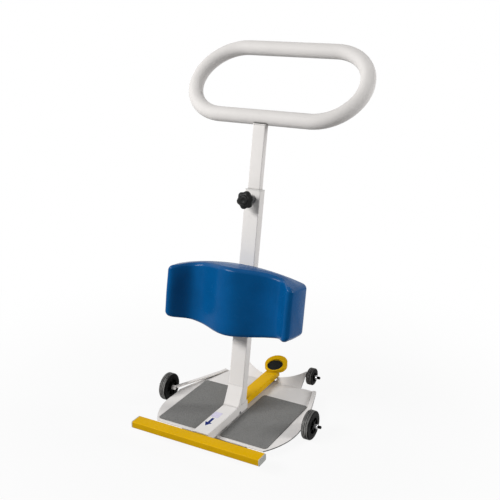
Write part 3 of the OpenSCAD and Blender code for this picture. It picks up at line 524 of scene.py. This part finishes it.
def pad_thick(x):
    """From back to front: a bump in the middle, a hollow for each knee, a horn at each end."""
    a = abs(x)
    if a < PAD["channel_x"]:
        return PAD["bump"] + (PAD["channel"] - PAD["bump"]) * ease(a / PAD["channel_x"])
    rise = ((a - PAD["channel_x"]) / (PAD["horn_x"] - PAD["channel_x"])) ** PAD["flank"]
    return PAD["channel"] + (PAD["horn"] - PAD["channel"]) * ease(rise)


def pad_half(x):
    """Half the pad's height."""
    return (PAD["mid_h"] + (PAD["end_h"] - PAD["mid_h"]) * (2 * x / PAD["w"]) ** 2) / 2


def pad_ring(x, inset):
    """One section of the pad: a rounded rectangle, slightly crowned except at its back.

    Its points are first taken as (n, u): n out of the pad's back and u upwards.
    """
    r, t, h = PAD["edge"] - inset, pad_thick(x) - inset, pad_half(x) - inset
    corners = [(t - r, h - r), (inset + r, h - r), (inset + r, r - h), (t - r, r - h)]
    ring = []
    for i, (n, u) in enumerate(corners):
        for k in range(PAD_CORNER_STEPS + 1):
            a = math.pi / 2 * (i + k / PAD_CORNER_STEPS)
            ring.append((n + r * math.cos(a), u + r * math.sin(a)))
        m, v = corners[(i + 1) % 4]
        a = math.pi / 2 * (i + 1)
        start = (n + r * math.cos(a), u + r * math.sin(a))
        end = (m + r * math.cos(a), v + r * math.sin(a))
        crown = 0.0 if i == PAD_BACK_SIDE else PAD["crown"]
        for k in range(1, PAD_FLAT_STEPS):
            f = k / PAD_FLAT_STEPS
            bulge = crown * math.sin(math.pi * f) ** 2
            ring.append((start[0] + (end[0] - start[0]) * f + bulge * math.cos(a),
                         start[1] + (end[1] - start[1]) * f + bulge * math.sin(a)))
    return [(x, -n, u) for n, u in ring]


def make_pad():
    """The pad's skin as sections along X, drawn in at both ends."""
    r, half, steps = PAD["edge"], PAD["w"] / 2, PAD_LENGTH_STEPS
    turns = [math.pi / 2 * i / PAD_CORNER_STEPS for i in range(1, PAD_CORNER_STEPS + 1)]
    left = [(-half + r * (1 - math.cos(t)), r * (1 - math.sin(t))) for t in turns]
    inner = [((half - r) * (2 * i / steps - 1), 0.0) for i in range(1, steps)]
    places = left + inner + [(-x, e) for x, e in reversed(left)]
    verts, faces = loft([pad_ring(x, e) for x, e in places])
    place = column_matrix() @ Matrix.Translation((0, -PAD["back"] * MM, PAD["s"] * MM))
    pad = add("knee_pad_skin", verts, faces, MATERIALS["pad_blue"], "turning_base",
              matrix=place)
    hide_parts("knee_pad")


# Clamp knob


def make_knob():
    """Star knob with six lobes, a neck under its head and a cap on top."""
    lobes, hollow, sharpness, turn = 6, 3.5, 1.3, math.radians(18)
    head_from, hollow_from, hollow_over = 33.0, 12.0, 13.0

    def lobed(a, r, h):
        if h < head_from:
            return r
        dip = ((1 - math.cos(lobes * (a - turn))) / 2) ** sharpness
        return r - hollow * dip * ease((r - hollow_from) / hollow_over)

    core, rounding, low, high = 23.0, 3.5, 37.0, 42.0
    under, over = (0.3, 0.7, 1.1, 1.57), (0.1, 0.35, 0.6, 0.85, 1.05)
    neck = [(4.1, 17.5), (10.2, 17.5), (11.0, 18.3), (11.0, 31.5), (12.5, 33.2), (22.5, 33.5)]
    head = [(core + rounding * math.sin(t), low - rounding * math.cos(t)) for t in under]
    head += [(26.5, 39.5), (26.5, 41.5)]
    head += [(core + rounding * math.cos(t), high + rounding * math.sin(t)) for t in over]
    head += [(21.8, 46.4), (18.0, 48.4), (14.8, 49.8), (14.0, 49.5), (13.4, 48.6), (12.9, 48.6)]
    cap = [(12.7, 51.2), (12.2, 52.0), (11.0, 52.3), (7.0, 52.45), (5.2, 52.3), (4.6, 51.4),
           (3.6, 51.0), (1.2, 50.9)]
    verts, faces = loft(lathe(neck + head + cap, 144, lobed))
    knob = add("star_knob", verts, faces, KNOB, "clamp_screw",
               matrix=knob_matrix())
    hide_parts("clamp_knob")


# Wheels: moulded ribs in the dished hubs

# Shares of half the rib's width and of its height
RIB_SECTION = ((-1.25, 0.0), (-1.0, 0.75), (-0.6, 1.0), (0.6, 1.0), (1.0, 0.75), (1.25, 0.0))
RIB_ROOT = 0.4
RIB_SOFT = 0.5


def make_ribs(name, body, sign, wheel):
    """Ribs on both sides of a hub, those of one side between those of the other."""
    x, y, z = wheel["centre"]
    inner, outer = wheel["reach"]
    dish, count = wheel["dish"], wheel["ribs"]
    floor = wheel["width"] / 2 - dish - RIB_ROOT
    # Radius, half width and height
    stations = ((inner, 2.6, dish - 0.6), ((inner + outer) / 2, 2.0, dish - 1.4),
                (outer, 2.4, dish - 0.6))
    skins = []
    for side in (-1, 1):
        for i in range(count):
            turn = 2 * math.pi * (i + 0.5 * (side > 0)) / count
            c, s = math.cos(turn), math.sin(turn)
            rings = []
            for r, half_w, top in stations:
                ring = []
                for across, up in RIB_SECTION:
                    v = across * half_w
                    depth = floor + (top + RIB_ROOT) * up
                    ring.append((sign * x + side * depth, y + c * r - s * v, z + s * r + c * v))
                rings.append(ring)
            skins.append(loft(rings))
    verts, faces = gather(skins)
    ribs = add(name, verts, faces, MATERIALS["black_plastic"], body, smooth=False)
    soft = ribs.modifiers.new("Softened", "BEVEL")
    soft.width, soft.segments, soft.limit_method = RIB_SOFT * MM, 2, "ANGLE"


def make_all_ribs():
    for side, sign in (("left", -1), ("right", 1)):
        make_ribs("side_hub_ribs_" + side, "side_wheel_" + side, sign, SIDE_WHEEL)
        make_ribs("rear_hub_ribs_" + side, "rear_wheel_" + side, sign, REAR_WHEEL)


# Welds


def make_column_welds():
    """Beads round the column's foot, round the gusset's foot and over the gusset's top."""
    lean = math.tan(LEAN)
    foot = COL_Y + BEAM_TOP * lean
    deep = COL_D / 2 / math.cos(LEAN)
    front, back = foot - deep, foot + deep
    sunk, cut, inset = 0.4, 1.0, 0.6
    side, flat, z = COL_W / 2 - sunk, COL_W / 2 - TUBE_CORNER, BEAM_TOP
    weld("weld_column_foot", [(side, front, z), (side, back - TUBE_CORNER, z), (flat, back, z),
                              (-flat, back, z), (-side, back - TUBE_CORNER, z), (-side, front, z)],
         "turning_base", radius=1.5)
    edge = GUSSET_FRONT
    weld("weld_gusset_foot", [(side, front, z), (side, edge + cut, z), (side - cut, edge, z),
                              (cut - side, edge, z), (-side, edge + cut, z), (-side, front, z)],
         "turning_base", radius=1.5)
    side, top = COL_W / 2 - inset, GUSSET_TOP - inset
    top_front = COL_Y + GUSSET_TOP * lean - deep
    weld("weld_gusset_top", [(side, front + 1, z + 2), (side, top_front, top),
                             (-side, top_front, top), (-side, front + 1, z + 2)],
         "turning_base", radius=1.2)


def make_base_welds(side, sign):
    """Short beads along the beam, one round the strut's foot and one where it meets its eye."""
    bead = 30
    for i, y in enumerate((-128, -70, -8, 22)):
        ends = [(sign * BEAM_SIDE, y, PLATE_TOP), (sign * BEAM_SIDE, y + bead, PLATE_TOP)]
        weld(f"weld_beam_{side}_{i}", ends, "turning_base", radius=1.5)
    (dx, dy), foot, half = STRUT["along"], STRUT["foot"], STRUT["w"] / 2
    round_foot = ((foot, -half), (0, -half), (0, half), (foot, half))
    weld("weld_strut_" + side, [(sign * (STRUT["x"] + u * dx - v * dy),
                                 STRUT["y"] + u * dy + v * dx, PLATE_TOP) for u, v in round_foot],
         "turning_base", radius=1.2)
    _, y, z = SIDE_WHEEL["centre"]
    inner, outer = 221.5, 230.5
    low, high = -0.3, 0.35  # radians round the eye
    round_strut = ((inner, low), (inner, high), (outer, high), (outer, low))
    weld("weld_eye_" + side, [(sign * x, y + EYE_R * math.cos(t), z + EYE_R * math.sin(t))
                              for x, t in round_strut],
         "turning_base", radius=1.0, closed=True)


def make_ring_weld():
    """A bead round the inner tube's top, which is cut to sit on the hand ring."""
    r, s, setback = RING["r"], RING["s"], RING["setback"]
    highest = s - 0.9 * r
    w, d, cut, steps = MAST_W / 2, MAST_D / 2, TUBE_CORNER, 6
    outline = [(cut - w, -d), (w - cut, -d), (w, cut - d), (w, d - cut),
               (w - cut, d), (cut - w, d), (-w, d - cut), (-w, cut - d)]
    saddle = []
    for (xa, ya), (xb, yb) in zip(outline, outline[1:] + outline[:1]):
        for i in range(steps):
            x, y = xa + (xb - xa) * i / steps, ya + (yb - ya) * i / steps
            under_ring = s - math.sqrt(max(0.0, r * r - (y - setback) ** 2))
            saddle.append((x, y, min(under_ring, highest)))
    weld("weld_ring", saddle, "handle", radius=1.6, closed=True, matrix=column_matrix())


def make_pedal_weld():
    arc = [(x, PEDAL["y"] - math.sqrt(PEDAL["r"] ** 2 - x * x), ARM_TOP)
           for x in range(-17, 18, 2)]
    weld("weld_pedal", arc, "front_slide", radius=1.3, slot="yellow_paint")


def make_welds():
    make_column_welds()
    make_base_welds("left", -1)
    make_base_welds("right", 1)
    make_ring_weld()
    make_pedal_weld()


# Printed arrow and bare film on the beam

# Height of the films' undersides over the beam, so that the two never share a plane
FILM_UNDER = 0.02


def make_arrow(name, grow, top, material):
    """An arrow that points to the front. The film under it is the same arrow, grown all round."""
    x, tip, head, tail = -8.2, -136.0 - 1.6 * grow, -115.0 + grow, -89.0 + grow
    barb, neck, end = 11.5 + 1.5 * grow, 4.4 + grow, 4.2 + grow
    outline = [(0, tip), (barb, head), (neck, head), (end, tail), (-end, tail), (-neck, head),
               (-barb, head)]
    rings = [[(x + u, v, BEAM_TOP + h) for u, v in outline] for h in (FILM_UNDER, top)]
    verts, faces = loft(rings)
    add(name, verts, faces, material, "turning_base", smooth=False)


def make_blank_film():
    """A bare film patch behind the arrow, with round corners and one lifted edge."""
    right, left, back, front, corner, steps = 1.0, -20.5, -55.0, -82.0, 2.0, 6
    top, lift, lift_from = 0.12, 0.25, -54.0
    outline = []
    for i, (x, y) in enumerate(((right, back), (left, back), (left, front), (right, front))):
        for k in range(steps + 1):
            t = math.pi / 2 * (i + k / steps)
            outline.append((x + corner * math.cos(t), y + corner * math.sin(t)))
    under = [(x, y, BEAM_TOP + FILM_UNDER) for x, y in outline]
    over = [(x, y, BEAM_TOP + top + (lift if y > lift_from else 0.0)) for x, y in outline]
    verts, faces = loft([under, over])
    add("blank_film", verts, faces, LILAC, "turning_base", smooth=False)


# Screws and pedal rubber


def hexagon(a, r):
    """Radius at an angle of a hexagon with corners at radius r."""
    return r * math.cos(math.pi / 6) / math.cos(a % (math.pi / 3) - math.pi / 6)


def make_screws():
    """Button-head screws with hexagon sockets, one on each side of the beam."""
    shank_r, socket_r = 2.4, 2.0
    head = [(shank_r, 0.0), (3.75, 0.0), (3.75, 0.9), (3.4, 1.7), (2.7, 2.3), (2.1, 2.5),
            (socket_r, 2.4), (socket_r, 1.0), (0.6, 0.8)]

    def socketed(a, r, h):
        return hexagon(a, r) if r <= socket_r and h > 0 else r

    skins = []
    for sign, y, z, shank_l in ((-1, -110.0, 46.0, 6.9), (1, 10.0, 35.0, 3.9)):
        rings = lathe([(shank_r, -shank_l)] + head, 36, socketed)
        skins.append(loft([[(sign * (BEAM_SIDE + h), y + u, z + v) for u, v, h in ring]
                           for ring in rings]))
    verts, faces = gather(skins)
    screws = add("button_screws", verts, faces, MATERIALS["dark_screws"], "turning_base",
                 smooth=False)
    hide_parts("guide_screws")


def make_pedal_rubber():
    """Rubber with raised rings in the pedal's pocket, on its sloping floor."""
    front = PEDAL["y"] - PEDAL["r"]
    top, first, step, count, pitch, height, steps = 3.55, 24.6, 0.4, 61, 4.8, 0.42, 72
    profile = [(25.9, 0.05), (25.9, 2.7), (25.6, 3.3), (25.0, top)]
    for i in range(count):
        wave = (1 - math.cos(2 * math.pi * i * step / pitch)) / 2
        profile.append((first - step * i, top + height * wave))
    rings = []
    for r, h in profile:
        ring = []
        for k in range(steps):
            a = 2 * math.pi * k / steps
            y = PEDAL["pocket_y"] + r * math.sin(a)
            floor = ARM_TOP + PEDAL["floor"] + (y - front) * PEDAL["slope"]
            ring.append((r * math.cos(a), y, floor + h))
        rings.append(ring)
    verts, faces = loft(rings)
    rubber = add("pedal_tread", verts, faces, TREAD, "front_slide")
    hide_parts("pedal_rubber")


# Stage, light and camera, in metres, watts and degrees

FLOOR_HALF = 30.0
FLOOR_NEAR, FLOOR_FAR, GLOW_NEAR, GLOW_FAR = 0.25, 1.5, 0.92, 1.0
WORLD_LIGHT, WORLD_SEEN = 0.14, 1.0
LAMPS_AIM = (0, 0.1, 0.5)
LAMPS = (
    dict(name="left", place=(-2.74, -3.54, 3.58), width=3.8, height=1.3, power=330),
    dict(name="right", place=(4.20, 2.33, 2.05), width=0.9, height=2.8, power=162),
)
CAMERA = dict(place=(1.1078, -1.8954, 1.2781), down=18.437, turn=28.8, lens=59.306, sensor=36.0,
              shift=(-0.001, 0.001))


def make_lamp(name, place, width, height, power):
    light = bpy.data.lights.new(name, "AREA")
    light.shape = "RECTANGLE"
    light.size, light.size_y = width, height
    light.energy = power
    lamp = bpy.data.objects.new(name, light)
    bpy.context.scene.collection.objects.link(lamp)
    lamp.location = place
    to_object = Vector(LAMPS_AIM) - Vector(place)
    lamp.rotation_euler = to_object.to_track_quat("-Z", "Y").to_euler()


def seen_by_eye(tree):
    """1 for the camera's rays and for what gloss and glass show, 0 for light on the object."""
    path = tree.nodes.new("ShaderNodeLightPath")
    total = path.outputs["Is Camera Ray"]
    for name in ("Is Glossy Ray", "Is Transmission Ray"):
        more = tree.nodes.new("ShaderNodeMath")
        more.operation = "MAXIMUM"
        tree.links.new(total, more.inputs[0])
        tree.links.new(path.outputs[name], more.inputs[1])
        total = more.outputs["Value"]
    return total


def make_floor():
    """A white floor that glows to the eye and keeps a faint shadow near the object."""
    f = FLOOR_HALF
    mesh = bpy.data.meshes.new("floor")
    mesh.from_pydata([(-f, -f, 0), (f, -f, 0), (f, f, 0), (-f, f, 0)], [], [(0, 1, 2, 3)])
    floor = bpy.data.objects.new("floor", mesh)
    bpy.context.scene.collection.objects.link(floor)
    n = Nodes("floor_white")
    n.set(Base_Color=n.mix(n.noise(2, detail=2), grey(0.50), grey(0.52)), Roughness=0.9,
          Specular_IOR_Level=0.0)
    glow = n.tree.nodes.new("ShaderNodeEmission")
    glow.inputs["Strength"].default_value = 1.0
    both = n.tree.nodes.new("ShaderNodeMixShader")
    away = n.tree.nodes.new("ShaderNodeVectorMath")
    away.operation = "LENGTH"
    n.link(n.coords, away.inputs[0])
    share = n.range(away.outputs["Value"], FLOOR_NEAR, FLOOR_FAR, GLOW_NEAR, GLOW_FAR)
    share.node.interpolation_type = "SMOOTHERSTEP"
    n.link(n.times(seen_by_eye(n.tree), share), both.inputs["Fac"])
    n.link(n.bsdf.outputs["BSDF"], both.inputs[1])
    n.link(glow.outputs["Emission"], both.inputs[2])
    n.link(both.outputs["Shader"], n.tree.nodes["Material Output"].inputs["Surface"])
    mesh.materials.append(n.mat)


def make_world():
    """White to the eye, a weak even light for the object."""
    world = bpy.data.worlds.new("studio")
    bpy.context.scene.world = world
    world.use_nodes = True
    tree = world.node_tree
    back = tree.nodes["Background"]
    back.inputs["Color"].default_value = (1, 1, 1, 1)
    strength = tree.nodes.new("ShaderNodeMapRange")
    strength.inputs["To Min"].default_value = WORLD_LIGHT
    strength.inputs["To Max"].default_value = WORLD_SEEN
    tree.links.new(seen_by_eye(tree), strength.inputs["Value"])
    tree.links.new(strength.outputs["Result"], back.inputs["Strength"])


def make_camera():
    """The photo's camera."""
    data = bpy.data.cameras.new("camera")
    data.sensor_width = CAMERA["sensor"]
    data.lens = CAMERA["lens"]
    data.shift_x, data.shift_y = CAMERA["shift"]
    camera = bpy.data.objects.new("camera", data)
    bpy.context.scene.collection.objects.link(camera)
    camera.location = CAMERA["place"]
    camera.rotation_euler = (math.radians(90 - CAMERA["down"]), 0, math.radians(CAMERA["turn"]))
    bpy.context.scene.camera = camera


dress_nodes()
make_pad()
make_knob()
make_all_ribs()
make_welds()
make_blank_film()
make_arrow("arrow_film", grow=1.6, top=0.10, material=FILM)
make_arrow("arrow_ink", grow=0.0, top=0.16, material=INK)
make_screws()
make_pedal_rubber()
make_floor()
make_world()
for lamp_row in LAMPS:
    make_lamp(**lamp_row)
make_camera()
bpy.context.scene.view_settings.view_transform = "Standard"
